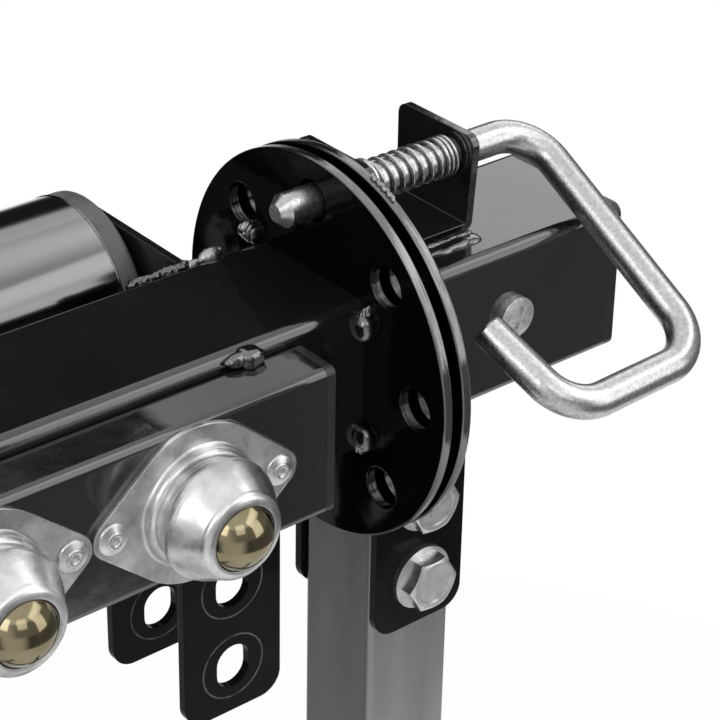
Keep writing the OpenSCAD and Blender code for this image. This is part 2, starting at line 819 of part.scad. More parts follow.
// A folded bracket on the stub whose two ears guide the lock pin
module plunger_bracket() color(black) at_head() {
    depth = ear_front + ear_back;
    rise = index_radius + ear_top - half_tube;
    difference() {
        intersection() {
            translate([ear_x, -ear_front, half_tube]) along_y(depth) difference() {
                translate([pin_bracket_length / 2, rise])
                    rounded_rect(pin_bracket_length, 2 * rise, pin_bracket_t);
                translate([pin_bracket_length / 2, rise + pin_bracket_t])
                    square([pin_bracket_length - 2 * pin_bracket_t, 2 * rise], center = true);
            }
            translate([ear_x - over, (ear_back - ear_front) / 2, half_tube])
                along_x(pin_bracket_length + 2 * over) difference() {
                    rounded_rect(depth, 2 * rise, ear_corner);
                    polygon([
                        [-depth / 2 - over, 0],
                        [-depth / 2 + ear_lean, 0],
                        [-depth / 2, rise - ear_corner],
                        [-depth / 2 - over, rise - ear_corner]
                    ]);
                }
        }
        at_pin() translate([ear_x - over, 0, 0])
            rod_x(pin_hole_d / 2, pin_bracket_length + 2 * over);
    }
}

// Plunger
module spring_washer() color(zinc) at_head() at_pin() {
    translate([washer_x, 0, 0]) difference() {
        rod_x(washer_d / 2, washer_t);
        translate([-over, 0, 0]) rod_x(pin_hole_d / 2, washer_t + 2 * over);
    }
}

module plunger_spring() color(zinc) at_head() at_pin() {
    rings = [for (i = [0 : spring_last]) spring_ring(i)];
    points = [for (ring = rings) each ring];
    n = spring_sides;
    sides = [for (i = [0 : spring_last - 1], k = [0 : n - 1])
        let (a = i * n + k, b = i * n + (k + 1) % n)
        each [[a, a + n, b + n], [a, b + n, b]]];
    first_cap = [for (k = [1 : n - 2]) [0, k, k + 1]];
    last_cap = [for (k = [1 : n - 2])
        [spring_last * n, spring_last * n + k + 1, spring_last * n + k]];
    polyhedron(points = points, faces = concat(sides, first_cap, last_cap));
}

function way(i) = unit(handle_path[i + 1] - handle_path[i]);
function turn_angle(i) = acos(way(i - 1) * way(i));
function trim(i) = i <= 0 ? 0 : i >= len(handle_path) - 1 ? 0
    : handle_bend * tan(turn_angle(i) / 2);

// The pin and its handle are one bent rod, drawn flat and then leant over.
// The straights reach a little way into the bends, which swell by a hair.
module lock_pin() color(zinc) at_head() at_pin() rotate([180 + handle_lean, 0, 0]) {
    r = pin_diameter / 2;
    last = len(handle_path) - 1;
    for (i = [0 : last - 1]) {
        start = handle_path[i] + way(i) * (trim(i) - (i == 0 ? 0 : bend_overlap));
        end = handle_path[i + 1] - way(i) * (trim(i + 1) - (i == last - 1 ? 0 : bend_overlap));
        length = norm(end - start);
        taper = i == 0 ? pin_taper : handle_end_taper;
        tip = i == 0 ? pin_end_d / 2 : r;
        tail = i == last - 1 ? r - handle_end_taper : r;
        translate([start[0], start[1], 0])
            rotate([0, 0, atan2(way(i)[1], way(i)[0])]) rotate([0, 90, 0])
            rotate_extrude() polygon([
                [0, 0], [tip, 0], [r, taper], [r, length - handle_end_taper],
                [tail, length], [0, length]
            ]);
    }
    for (i = [1 : last - 1]) {
        left = cross([way(i - 1)[0], way(i - 1)[1], 0], [way(i)[0], way(i)[1], 0])[2] > 0 ? 1 : -1;
        start = handle_path[i] - way(i - 1) * trim(i);
        centre = start + left * handle_bend * [-way(i - 1)[1], way(i - 1)[0]];
        from = atan2(start[1] - centre[1], start[0] - centre[0]);
        translate([centre[0], centre[1], 0])
            rotate([0, 0, left > 0 ? from : from - turn_angle(i)])
            rotate_extrude(angle = turn_angle(i))
            translate([handle_bend, 0]) circle(r = r + bend_swell);
    }
}

module roll_pin() color(zinc) at_head() at_pin() {
    for (s = [0, 1]) mirror([0, s, 0])
        translate([roll_pin_x, pin_diameter / 2, 0])
        rod_y(roll_pin_d / 2, (roll_pin_length - pin_diameter) / 2);
}

// Head
module beam_tube() color(black) at_head() {
    translate([-beam_length + cap_rim, 0, 0]) along_x(beam_length - cap_rim)
        tube_profile(head_tube_size, head_tube_size, head_tube_wall, tube_corner);
}

module beam_end_cap() color(black) at_head() {
    translate([-beam_length + cap_rim, 0, 0]) rotate([0, -90, 0])
        tube_cap(head_tube_size, head_tube_size, head_tube_wall, tube_corner);
}

module rivet_places() {
    for (i = [1 : ball_units], s = [-1, 1])
        translate([ball_x(i) + s * rivet_pitch / 2, side_face_y, -ball_drop]) children();
}

module side_tube() color(black) at_head() {
    difference() {
        translate([side_tube_left, side_tube_y, side_tube_z])
            along_x(side_tube_right - side_tube_left)
            tube_profile(side_tube_depth, side_tube_height, side_tube_wall, side_tube_corner);
        rivet_places() translate([0, -over, 0])
            rod_y(rivet_d / 2 + hole_play, side_tube_wall + 2 * over);
    }
}

module side_tube_caps() color(black) at_head() {
    for (s = [-1, 1]) translate([s > 0 ? side_tube_right : side_tube_left, side_tube_y, side_tube_z])
        rotate([0, 90 * s, 0])
        tube_cap(side_tube_height, side_tube_depth, side_tube_wall, side_tube_corner);
}

module head_disc() color(black) at_head() index_disc(0);

module pivot_shaft() color(zinc) at_head() {
    difference() {
        translate([disc_thickness, 0, 0]) rod_x(shaft_diameter / 2, shaft_end - disc_thickness);
        translate([groove_x - groove_width / 2, 0, 0]) difference() {
            rod_x(shaft_diameter / 2 + over, groove_width);
            translate([-over, 0, 0])
                rod_x(shaft_diameter / 2 - groove_depth, groove_width + 2 * over);
        }
    }
}

module socket_bracket() color(black) at_head() translate([-socket_x, 0, 0]) folded_bracket();

module roller_plate(x) color(black) at_head() {
    reach = roller_offset + roller_plate_reach - half_tube;
    difference() {
        translate([x, half_tube + reach / 2, 0]) along_x(roller_plate_t) {
            rounded_rect(reach, head_tube_size, roller_plate_corner);
            translate([-reach / 4, 0]) square([reach / 2, head_tube_size], center = true);
        }
        translate([x - over, roller_offset, 0])
            rod_x(axle_diameter / 2 + hole_play, roller_plate_t + 2 * over);
    }
}

module roller_axle() color(zinc) at_head() translate([0, roller_offset, 0]) {
    translate([axle_left, 0, 0]) rod_x(axle_diameter / 2, axle_right - axle_left);
    translate([plate_right_x - axle_washer_gap, 0, 0])
        rod_x(axle_diameter * axle_collar_r_share, axle_washer_gap);
    translate([plate_left_x + roller_plate_t, 0, 0])
        rod_x(axle_diameter * axle_collar_r_share, axle_washer_gap);
}

module axle_nuts() color(zinc) at_head() {
    for (x = [plate_left_x - axle_nut_h, plate_right_x + roller_plate_t])
        translate([x, roller_offset, 0]) difference() {
            along_x(axle_nut_h) hexagon(axle_nut_w);
            translate([-over, 0, 0]) rod_x(axle_diameter / 2 + running, axle_nut_h + 2 * over);
        }
}

// The flange's outline: round middle, round ends and straight tangents
module flange_profile() {
    r_mid = flange_diameter / 2;
    d = rivet_pitch / 2;
    a = acos((r_mid - flange_end) / d);
    tangent = [r_mid * cos(a), r_mid * sin(a)];
    end = [d + flange_end * cos(a), flange_end * sin(a)];
    circle(r = r_mid);
    for (s = [-1, 1]) translate([s * d, 0]) circle(r = flange_end);
    polygon([
        [end[0], end[1]], [tangent[0], tangent[1]],
        [-tangent[0], tangent[1]], [-end[0], end[1]],
        [-end[0], -end[1]], [-tangent[0], -tangent[1]],
        [tangent[0], -tangent[1]], [end[0], -end[1]]
    ]);
}

// A quadratic curve from a to c that leaves towards b
function bend(a, b, c, n) = [for (i = [0 : n]) let (t = i / n)
    (1 - t) * (1 - t) * a + 2 * t * (1 - t) * b + t * t * c];

// The rounded corner between a housing's flare and its cone, drawn in by some wall
function shoulder(wall) = let (
        foot = [waist_radius - wall, waist_height],
        corner = [shoulder_radius - wall, shoulder_height],
        lip = [lip_radius - wall, opening_h - lip_depth]
    )
    bend(foot + (corner - foot) * flare_share, corner, corner + (lip - corner) * cone_share, 5);

// Outer and inner walls of the drawn housing, as radius and height
module housing_profile() {
    ring_round = (ring_height - flange_t) / 2;
    ball_side = opening_h - shell_t;
    lip_inner = sqrt(pow(ball_diameter / 2, 2) - pow(ball_side - ball_centre_h, 2)) + ball_gap;
    lip_start = [lip_radius, opening_h - lip_depth];
    lip_end = [opening_radius + lip_flat, opening_h];
    inner = shoulder(shell_t);
    polygon(concat(
        [[ring_radius + ring_fillet, 0], [ring_radius + ring_fillet, flange_t]],
        arc(ring_radius + ring_fillet, flange_t + ring_fillet, ring_fillet, 270, 180, 4),
        arc(ring_radius - ring_round, ring_height - ring_round, ring_round, 0, 90, 5),
        [[waist_radius, ring_height], [waist_radius, waist_height]],
        shoulder(0),
        bend(lip_start, [lip_radius, opening_h - lip_depth * (1 - lip_control_share)], lip_end, 5),
        [[opening_radius, opening_h], [lip_inner, ball_side]],
        [[max(lip_inner, lip_end[0]), ball_side], [lip_radius - shell_t, opening_h - lip_depth]],
        [for (i = [len(inner) - 1 : -1 : 0]) inner[i]],
        [[waist_radius - shell_t, waist_height], [waist_radius - shell_t, ring_height - shell_t]],
        [[ring_radius - shell_t, ring_height - shell_t], [ring_radius - shell_t, 0]]
    ));
}

module ball_housing(i) color(zinc) at_head()
    translate([ball_x(i), side_face_y, -ball_drop]) rotate([90, 0, 0]) {
        difference() {
            linear_extrude(flange_t) flange_profile();
            translate([0, 0, -over]) cylinder(r = ring_radius, h = flange_t + 2 * over);
            for (s = [-1, 1]) translate([s * rivet_pitch / 2, 0, -over])
                cylinder(r = rivet_d / 2 + hole_play, h = flange_t + 2 * over);
        }
        rotate_extrude() housing_profile();
    }

module ball_cups() color(zinc) at_head() {
    for (i = [1 : ball_units])
        translate([ball_x(i), side_face_y, -ball_drop]) rotate([90, 0, 0]) difference() {
            cylinder(r = cup_radius, h = ball_centre_h - support_ball_d);
            translate([0, 0, ball_centre_h]) sphere(r = cup_bore);
        }
}

module support_balls() color(zinc) at_head() {
    reach = ball_diameter / 2 + support_ball_d / 2 + ball_gap / 2;
    for (i = [1 : ball_units])
        translate([ball_x(i), ball_y, -ball_drop]) {
            translate([0, reach, 0]) sphere(d = support_ball_d);
            for (k = [0 : support_balls_ring - 1]) rotate([0, 360 * k / support_balls_ring, 0])
                rotate([0, 0, support_ring_tilt]) translate([0, reach, 0])
                sphere(d = support_ball_d);
        }
}

module ball_rivets() color(zinc) at_head() {
    rivet_places() rotate([90, 0, 0]) rotate_extrude() polygon([
        [rivet_core_d / 2, -side_tube_wall - rivet_tail_h],
        [rivet_tail_d / 2, -side_tube_wall - rivet_tail_h],
        [rivet_tail_d / 2, -side_tube_wall],
        [rivet_d / 2, -side_tube_wall],
        [rivet_d / 2, flange_t],
        [rivet_head_d / 2, flange_t],
        [rivet_head_d / 2 - rivet_edge / 2, flange_t + rivet_edge],
        [rivet_core_d + rivet_edge, flange_t + rivet_head_h],
        [rivet_core_d / 2, flange_t + rivet_head_h]
    ]);
}

module ball(i) color("goldenrod") at_head()
    translate([ball_x(i), ball_y, -ball_drop]) sphere(d = ball_diameter);

// Roller
module roller_tube() color(zinc) at_head() {
    translate([roller_tube_left, roller_offset, 0]) difference() {
        rod_x(roller_diameter / 2, roller_tube_right - roller_tube_left);
        translate([-over, 0, 0])
            rod_x(roller_bore_r, roller_tube_right - roller_tube_left + 2 * over);
    }
}

// A cap that closes the roller's end and holds its bearing
module roller_cap(x, turn) color(grey_plastic) at_head()
    translate([x, roller_offset, 0]) rotate([0, turn, 0]) rotate_extrude() polygon(concat(
        [[bearing_diameter / 2, -roller_plug]],
        [[roller_bore_r - insert_fit, -roller_plug]],
        [[roller_bore_r - insert_fit, 0]],
        [[roller_diameter / 2, 0]],
        arc(roller_diameter / 2 - roller_cap_edge, roller_cap_length - roller_cap_edge,
            roller_cap_edge, 0, 90, 5),
        [[bearing_diameter / 2, roller_cap_length]]
    ));

module roller_bearings() color(zinc) at_head() {
    for (x = [roller_right - bearing_width, roller_left])
        translate([x, roller_offset, 0]) difference() {
            rod_x(bearing_diameter / 2, bearing_width);
            translate([-over, 0, 0]) rod_x(axle_diameter / 2 + running, bearing_width + 2 * over);
        }
}

base_rail();
foot_tube(-1);  // foot_tube_left
foot_tube(1);  // foot_tube_right
foot_end_caps();
rubber_feet();
foot_screws();
outer_column();
column_gussets();
column_guide();
clamp_boss();
clamp_screw();
clamp_knob();
inner_post();
post_slider();
post_bracket();
post_bolts();
post_nuts();
stub_tube();
stub_end_cap();
stub_disc();
pivot_bush(front_bush_x);  // pivot_bush_front
pivot_bush(rear_bush_x);  // pivot_bush_rear
retaining_screw();
retaining_nut();
plunger_bracket();
spring_washer();
plunger_spring();
lock_pin();
roll_pin();
beam_tube();
beam_end_cap();
side_tube();
side_tube_caps();
head_disc();
pivot_shaft();
socket_bracket();
roller_plate(plate_right_x);  // roller_plate_right
roller_plate(plate_left_x);  // roller_plate_left
roller_axle();
axle_nuts();
ball_housing(1);  // ball_housing_1
ball_housing(2);  // ball_housing_2
ball_housing(3);  // ball_housing_3
ball_housing(4);  // ball_housing_4
ball_cups();
support_balls();
ball_rivets();
ball(1);  // ball_1
ball(2);  // ball_2
ball(3);  // ball_3
ball(4);  // ball_4
roller_tube();
roller_cap(roller_tube_right, 90);  // roller_cap_right
roller_cap(roller_tube_left, -90);  // roller_cap_left
roller_bearings();
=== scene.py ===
"""Looks for the adjustable support stand: paint, zinc, chrome and plastic finishes,
weld beads, screw threads and the wound spring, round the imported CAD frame."""
import math
import random

import bmesh
import bpy
from mathutils import Matrix, Vector


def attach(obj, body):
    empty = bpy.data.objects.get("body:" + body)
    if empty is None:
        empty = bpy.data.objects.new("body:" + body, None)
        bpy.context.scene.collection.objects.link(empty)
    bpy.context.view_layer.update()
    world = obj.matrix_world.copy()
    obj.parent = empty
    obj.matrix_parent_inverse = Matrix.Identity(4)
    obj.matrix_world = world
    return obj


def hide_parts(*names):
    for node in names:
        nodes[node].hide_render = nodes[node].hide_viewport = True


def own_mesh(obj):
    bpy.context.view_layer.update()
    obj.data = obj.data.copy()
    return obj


MM = 0.001

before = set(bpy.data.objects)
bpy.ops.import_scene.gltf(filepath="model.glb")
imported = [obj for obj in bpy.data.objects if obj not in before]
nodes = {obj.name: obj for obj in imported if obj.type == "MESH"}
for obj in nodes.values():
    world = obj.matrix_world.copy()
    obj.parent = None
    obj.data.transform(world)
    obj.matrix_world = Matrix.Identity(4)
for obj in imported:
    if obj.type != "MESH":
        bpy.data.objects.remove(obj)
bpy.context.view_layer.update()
scene = bpy.context.scene

# Left face of the turning disc, on its axis, in metres in the CAD frame
HEAD = Vector((0.1362, 0.0, 0.720))
# Places of the CAD's parts in millimetres from there, x to the right and y to the back
BRACKET_X = 33.8  # middle of the post bracket
POST_BOLT_ZS = (-65.9, -100.9)
SOCKET_X = -53.7  # middle of the spare socket bracket
SOCKET_HOLE_ZS = (-67.9, -102.9)
ROLLER_Y = 85
PIN_Z = 57  # the lock pin's axis


def head(x, y, z):
    """A point given in millimetres from the turning disc, in metres in the CAD frame."""
    return HEAD + Vector((x, y, z)) * MM


def floor_point(x, y, z):
    """A point given in millimetres in the CAD frame, in metres."""
    return Vector((x, y, z)) * MM


# Camera
CAMERA_AT = Vector((-0.34261, -0.59934, 1.15920))
CAMERA_RIGHT = Vector((0.77197, -0.63541, 0.01785))
CAMERA_UP = Vector((0.2955, 0.38358, 0.87496))
CAMERA_FORWARD = Vector((0.5628, 0.67016, -0.48387))
SENSOR, LENS = 36.0, 123.895  # in millimetres
CAMERA_SHIFT = (-0.00588, -0.07236)  # in shares of the frame
CLIP = (0.01, 50.0)  # in metres


def build_camera():
    """The photo's camera, as fitted to it."""
    data = bpy.data.cameras.new("camera")
    data.sensor_width = SENSOR
    data.lens = LENS
    data.shift_x, data.shift_y = CAMERA_SHIFT
    data.clip_start, data.clip_end = CLIP
    camera = bpy.data.objects.new("camera", data)
    scene.collection.objects.link(camera)
    turn = Matrix((CAMERA_RIGHT, CAMERA_UP, -CAMERA_FORWARD)).transposed()
    camera.matrix_world = Matrix.Translation(CAMERA_AT) @ turn.to_4x4()
    scene.camera = camera


build_camera()
scene.view_settings.view_transform = "Standard"


# Shader nodes
def link(tree, source, target):
    """Joins an output to an input."""
    tree.links.new(source, target)


def node(tree, kind, **settings):
    """A shader node with its settings."""
    made = tree.nodes.new(kind)
    for key, value in settings.items():
        setattr(made, key, value)
    return made


def feed(tree, value, socket):
    """Gives an input a plain number or colour, or the output that value is."""
    if isinstance(value, (int, float)):
        socket.default_value = value
    elif isinstance(value, tuple):
        socket.default_value = (*value, 1)
    else:
        link(tree, value, socket)


def maths(tree, operation, a, b=None, clamp=False):
    """A math node on outputs or plain numbers; returns its output."""
    made = node(tree, "ShaderNodeMath", operation=operation, use_clamp=clamp)
    feed(tree, a, made.inputs[0])
    if b is not None:
        feed(tree, b, made.inputs[1])
    return made.outputs[0]


def distance(tree, a, b):
    """The length of the diagonal of a and b."""
    squares = [maths(tree, "MULTIPLY", side, side) for side in (a, b)]
    return maths(tree, "SQRT", maths(tree, "ADD", *squares))


def ramp(tree, value, low, high, out_low=0.0, out_high=1.0, smooth=True):
    """Maps value from low..high to out_low..out_high."""
    made = node(tree, "ShaderNodeMapRange")
    made.interpolation_type = "SMOOTHSTEP" if smooth else "LINEAR"
    link(tree, value, made.inputs["Value"])
    made.inputs["From Min"].default_value = low
    made.inputs["From Max"].default_value = high
    made.inputs["To Min"].default_value = out_low
    made.inputs["To Max"].default_value = out_high
    return made.outputs["Result"]


def blend(tree, share, a, b, data_type, kind):
    """a where share is 0, b where it is 1, of a Mix node's sockets of one kind."""
    made = node(tree, "ShaderNodeMix", data_type=data_type)
    factor = next(s for s in made.inputs if s.name == "Factor" and s.type == "VALUE")
    feed(tree, share, factor)
    for name, value in (("A", a), ("B", b)):
        feed(tree, value, next(s for s in made.inputs if s.name == name and s.type == kind))
    return next(s for s in made.outputs if s.type == kind)


def blend_value(tree, share, a, b):
    """Number a where share is 0, b where it is 1."""
    return blend(tree, share, a, b, "FLOAT", "VALUE")


def blend_colour(tree, share, a, b):
    """Colour a where share is 0, b where it is 1."""
    return blend(tree, share, a, b, "RGBA", "RGBA")


def split_axes(tree, source):
    """The x, y and z outputs of a vector."""
    split = node(tree, "ShaderNodeSeparateXYZ")
    link(tree, source, split.inputs[0])
    return split.outputs


def rest_axes(tree, name):
    """x, y and z of a texture coordinate: Object is the place at rest, Normal the way a face looks."""
    return split_axes(tree, node(tree, "ShaderNodeTexCoord").outputs[name])


def dot_with(tree, source, direction):
    """How far a vector reaches in a fixed direction."""
    dot = node(tree, "ShaderNodeVectorMath", operation="DOT_PRODUCT")
    link(tree, source, dot.inputs[0])
    dot.inputs[1].default_value = direction
    return dot.outputs["Value"]


NOISE_ROUGHNESS = 0.55


def noise(tree, scale, detail, stretch=(1, 1, 1)):
    """A noise value on rest coordinates; scale is in cells a metre."""
    mapping = node(tree, "ShaderNodeMapping")
    mapping.inputs["Scale"].default_value = stretch
    link(tree, node(tree, "ShaderNodeTexCoord").outputs["Object"], mapping.inputs["Vector"])
    made = node(tree, "ShaderNodeTexNoise")
    made.inputs["Scale"].default_value = scale
    made.inputs["Detail"].default_value = detail
    made.inputs["Roughness"].default_value = NOISE_ROUGHNESS
    link(tree, mapping.outputs[0], made.inputs["Vector"])
    return made.outputs[0]


def spread(tree, value, low, high):
    """Noise, mostly 0.3 to 0.7, brought to low..high."""
    return ramp(tree, value, 0.3, 0.7, low, high, smooth=False)


def grey(level):
    """A grey of equal red, green and blue."""
    return (level, level, level)


def shaded(colour, share):
    """A colour with a share of its light."""
    return tuple(c * share for c in colour)


# Light
WHITE = (1, 1, 1, 1)
MIRROR_UP = Vector((0.5628, 0.67016, 0.48387))  # where a level top mirrors the camera
ALONG = Vector((0.766, -0.643, 0.0))  # level, square to the view
LEFT_HIGH = Vector((-0.81, -0.30, 0.50))  # where the discs' left rims mirror the camera
EDGE_HIGH = Vector((0.563, -0.484, 0.670))  # where the tubes' front top edges mirror the camera
RIGHT_FRONT = Vector((0.56, -0.72, 0.22))  # where the discs' right rims mirror the camera
STUB_TOP = head(60, 0, 30)
BEAM_FRONT = head(-60, -30, 20)
BEAM_MIDDLE = head(-100, 0, 0)
BELOW_BEAM = head(-60, 0, -60)
# Strengths of the studio that the object mirrors
DIM_LEFT, DIM_RIGHT, LOW_FRONT_LEFT = 0.015, 0.18, 0.8  # below
LEVEL_FRONT, LEVEL_BACK, LEVEL_FAR_LEFT = 0.34, 0.02, 0.5  # at eye level
CEILING, BACKDROP = 1.05, 1.0


def build_world():
    """White behind the object. Other rays see a studio: dim below, but light low in front on the left;
    at eye level lit from the front and the far left; white above, and where the backdrop is."""
    world = bpy.data.worlds.new("studio")
    world.use_nodes = True
    tree = world.node_tree
    tree.nodes.clear()
    way = node(tree, "ShaderNodeTexCoord").outputs["Generated"]
    x, y, z = split_axes(tree, way)
    below = ramp(tree, x, -0.5, 0.5, DIM_LEFT, DIM_RIGHT)
    low_front = ramp(tree, y, -0.45, -0.05, 1.0, 0.0)
    low_left = ramp(tree, x, -0.4, 0.1, LOW_FRONT_LEFT, 0.0)
    below = maths(tree, "ADD", below, maths(tree, "MULTIPLY", low_front, low_left))
    front = ramp(tree, y, -0.2, 0.4, LEVEL_FRONT, LEVEL_BACK)
    far_left = ramp(tree, x, -0.85, -0.45, LEVEL_FAR_LEFT, 0.0)
    level = blend_value(tree, ramp(tree, z, -0.12, 0.08), below, maths(tree, "ADD", front, far_left))
    level = blend_value(tree, ramp(tree, z, 0.54, 0.64), level, CEILING)
    backdrop = ramp(tree, dot_with(tree, way, CAMERA_FORWARD), 0.88, 0.95)
    level = blend_value(tree, backdrop, level, BACKDROP)
    studio = node(tree, "ShaderNodeBackground")
    link(tree, level, studio.inputs["Strength"])
    white = node(tree, "ShaderNodeBackground")
    for item in (studio, white):
        item.inputs["Color"].default_value = WHITE
    mix = node(tree, "ShaderNodeMixShader")
    link(tree, node(tree, "ShaderNodeLightPath").outputs["Is Camera Ray"], mix.inputs[0])
    link(tree, studio.outputs[0], mix.inputs[1])
    link(tree, white.outputs[0], mix.inputs[2])
    link(tree, mix.outputs[0], node(tree, "ShaderNodeOutputWorld").inputs[0])
    scene.world = world


def panel_light(name, at, aim, width, height, radiance):
    """A softbox at a point, facing aim."""
    data = bpy.data.lights.new(name, "AREA")
    data.shape = "RECTANGLE"
    data.size = width
    data.size_y = height
    data.energy = radiance * math.pi * width * height
    made = bpy.data.objects.new(name, data)
    made.rotation_mode = "QUATERNION"
    made.location = at
    made.rotation_quaternion = (aim - at).to_track_quat("-Z", "Y")
    scene.collection.objects.link(made)


def build_lights():
    """Four softboxes, each where one set of surfaces mirrors the camera, and a general one in front.
    Distances and sizes are in metres."""
    panel_light("key_panel", STUB_TOP + MIRROR_UP * 1.5 + ALONG * 0.47, STUB_TOP,
                width=0.9, height=0.55, radiance=1.8)
    panel_light("top_box", BEAM_FRONT + EDGE_HIGH * 1.3, BEAM_FRONT,
                width=1.3, height=0.5, radiance=1.6)
    panel_light("left_box", BEAM_FRONT + LEFT_HIGH * 1.4, BEAM_FRONT,
                width=0.5, height=0.7, radiance=2.4)
    panel_light("right_box", BEAM_FRONT + RIGHT_FRONT * 1.4, BEAM_FRONT,
                width=0.7, height=0.8, radiance=1.7)
    panel_light("front_box", BEAM_MIDDLE + Vector((-0.45, -1.6, 1.1)), BELOW_BEAM,
                width=0.9, height=0.9, radiance=1.3)


FLOOR_RADIUS = 1.0  # small enough to stay out of the side tube's mirror image
FLOOR_COLOUR = (0.86, 0.86, 0.86, 1)
FLOOR_WHITE_SHARE = 0.93  # of what the camera sees of the floor; the rest keeps the shadow


def build_floor():
    """A pale round floor under the base."""
    mesh = bpy.data.meshes.new("floor")
    bm = bmesh.new()
    bmesh.ops.create_circle(bm, cap_ends=True, segments=96, radius=FLOOR_RADIUS)
    bm.to_mesh(mesh)
    bm.free()
    floor = bpy.data.objects.new("floor", mesh)
    scene.collection.objects.link(floor)
    material = bpy.data.materials.new("pale_floor")
    material.use_nodes = True
    tree = material.node_tree
    tree.nodes.clear()
    pale = node(tree, "ShaderNodeBsdfDiffuse")
    pale.inputs["Color"].default_value = FLOOR_COLOUR
    white = node(tree, "ShaderNodeEmission")
    white.inputs["Strength"].default_value = 1.0
    mix = node(tree, "ShaderNodeMixShader")
    seen = node(tree, "ShaderNodeLightPath").outputs["Is Camera Ray"]
    link(tree, maths(tree, "MULTIPLY", seen, FLOOR_WHITE_SHARE), mix.inputs[0])
    link(tree, pale.outputs[0], mix.inputs[1])
    link(tree, white.outputs[0], mix.inputs[2])
    link(tree, mix.outputs[0], node(tree, "ShaderNodeOutputMaterial").inputs[0])
    mesh.materials.append(material)


build_world()
build_lights()
build_floor()


# Finishes
def start(name):
    """A new material, its node tree and its shader."""
    material = bpy.data.materials.new(name)
    material.use_nodes = True
    tree = material.node_tree
    return material, tree, tree.nodes["Principled BSDF"]


def bumps(tree, bsdf, layers, edge=0.0):
    """Bump layers (height output, distance in metres), on rounded edges of radius edge."""
    normal = None
    if edge:
        bevel = node(tree, "ShaderNodeBevel", samples=4)
        bevel.inputs["Radius"].default_value = edge
        normal = bevel.outputs[0]
    for height, depth in layers:
        made = node(tree, "ShaderNodeBump")
        made.inputs["Strength"].default_value = 1.0
        made.inputs["Distance"].default_value = depth
        link(tree, height, made.inputs["Height"])
        if normal is not None:
            link(tree, normal, made.inputs["Normal"])
        normal = made.outputs[0]
    link(tree, normal, bsdf.inputs["Normal"])


def looks_along_x(tree):
    """1 on the faces that look along X, 0 on the others."""
    return ramp(tree, maths(tree, "ABSOLUTE", rest_axes(tree, "Normal")[0]), 0.8, 0.99)


PAINT_BLACKS = ((0.0065, 0.0065, 0.0068), (0.0095, 0.0095, 0.0098))
SCUFFED_PAINT = grey(0.16)
# near black of the painted shade on the discs' flat faces, rim undersides and index holes
DISC_SHADE_BLACK = grey(0.0016)
PAINT_EDGE = 0.6 * MM
# Bumps as noise scale and depth: a slow ripple and orange peel, and the lumps and grain of weld metal
PAINT_BUMPS = ((55, 0.12 * MM), (700, 0.006 * MM))
WELD_BUMPS = ((300, 0.8 * MM), (1200, 0.02 * MM))
PIT_SHADE = 0.45  # of a metal's dark colour
# The side tube's bump climbs towards its right end, between these places along X
TUBE_RISE_FROM, TUBE_RISE_TO, TUBE_RISE = HEAD.x - 0.100, HEAD.x - 0.026, 14 * MM


def scuff(tree, colour, rough, x, z, radius):
    """Colour and roughness with the broken ring that a bolt's flange left round x, z."""
    line_core, line_edge, rubbed_band = 0.12 * MM, 0.45 * MM, 1 * MM
    worn_rough, rubbed_rough = 0.3, 0.05
    place = rest_axes(tree, "Object")
    dx = maths(tree, "SUBTRACT", place[0], x)
    dz = maths(tree, "SUBTRACT", place[2], z)
    away = distance(tree, dx, dz)
    off = maths(tree, "ABSOLUTE", maths(tree, "SUBTRACT", away, radius))
    broken = spread(tree, noise(tree, 260, 3), 0.25, 1.0)
    line = ramp(tree, off, line_core, line_edge, 1.0, 0.0)
    worn = maths(tree, "MULTIPLY", line, broken, clamp=True)
    rubbed = ramp(tree, away, radius - rubbed_band, radius, rubbed_rough, 0.0)
    rougher = maths(tree, "ADD", maths(tree, "MULTIPLY", worn, worn_rough), rubbed)
    return blend_colour(tree, worn, colour, SCUFFED_PAINT), maths(tree, "ADD", rough, rougher)


def disc_shade_mask(tree):
    """Painted shade on a disc: 1 on its flat faces, less on the underside of its rim and in its index
    holes, 0 on its rim.
    """
    # shares of painted shade under the rim and in the index holes
    underside, hole_shade = 0.85, 0.62
    holes_end, rim_start = 67 * MM, 69 * MM  # from the axis
    low = ramp(tree, rest_axes(tree, "Normal")[2], -0.45, -0.05, underside, 0.0)
    disc_shade = maths(tree, "MAXIMUM", looks_along_x(tree), low)
    place = rest_axes(tree, "Object")
    away = distance(tree, place[1], maths(tree, "SUBTRACT", place[2], HEAD.z))
    return maths(tree, "MAXIMUM", disc_shade, ramp(tree, away, holes_end, rim_start, hole_shade, 0.0))


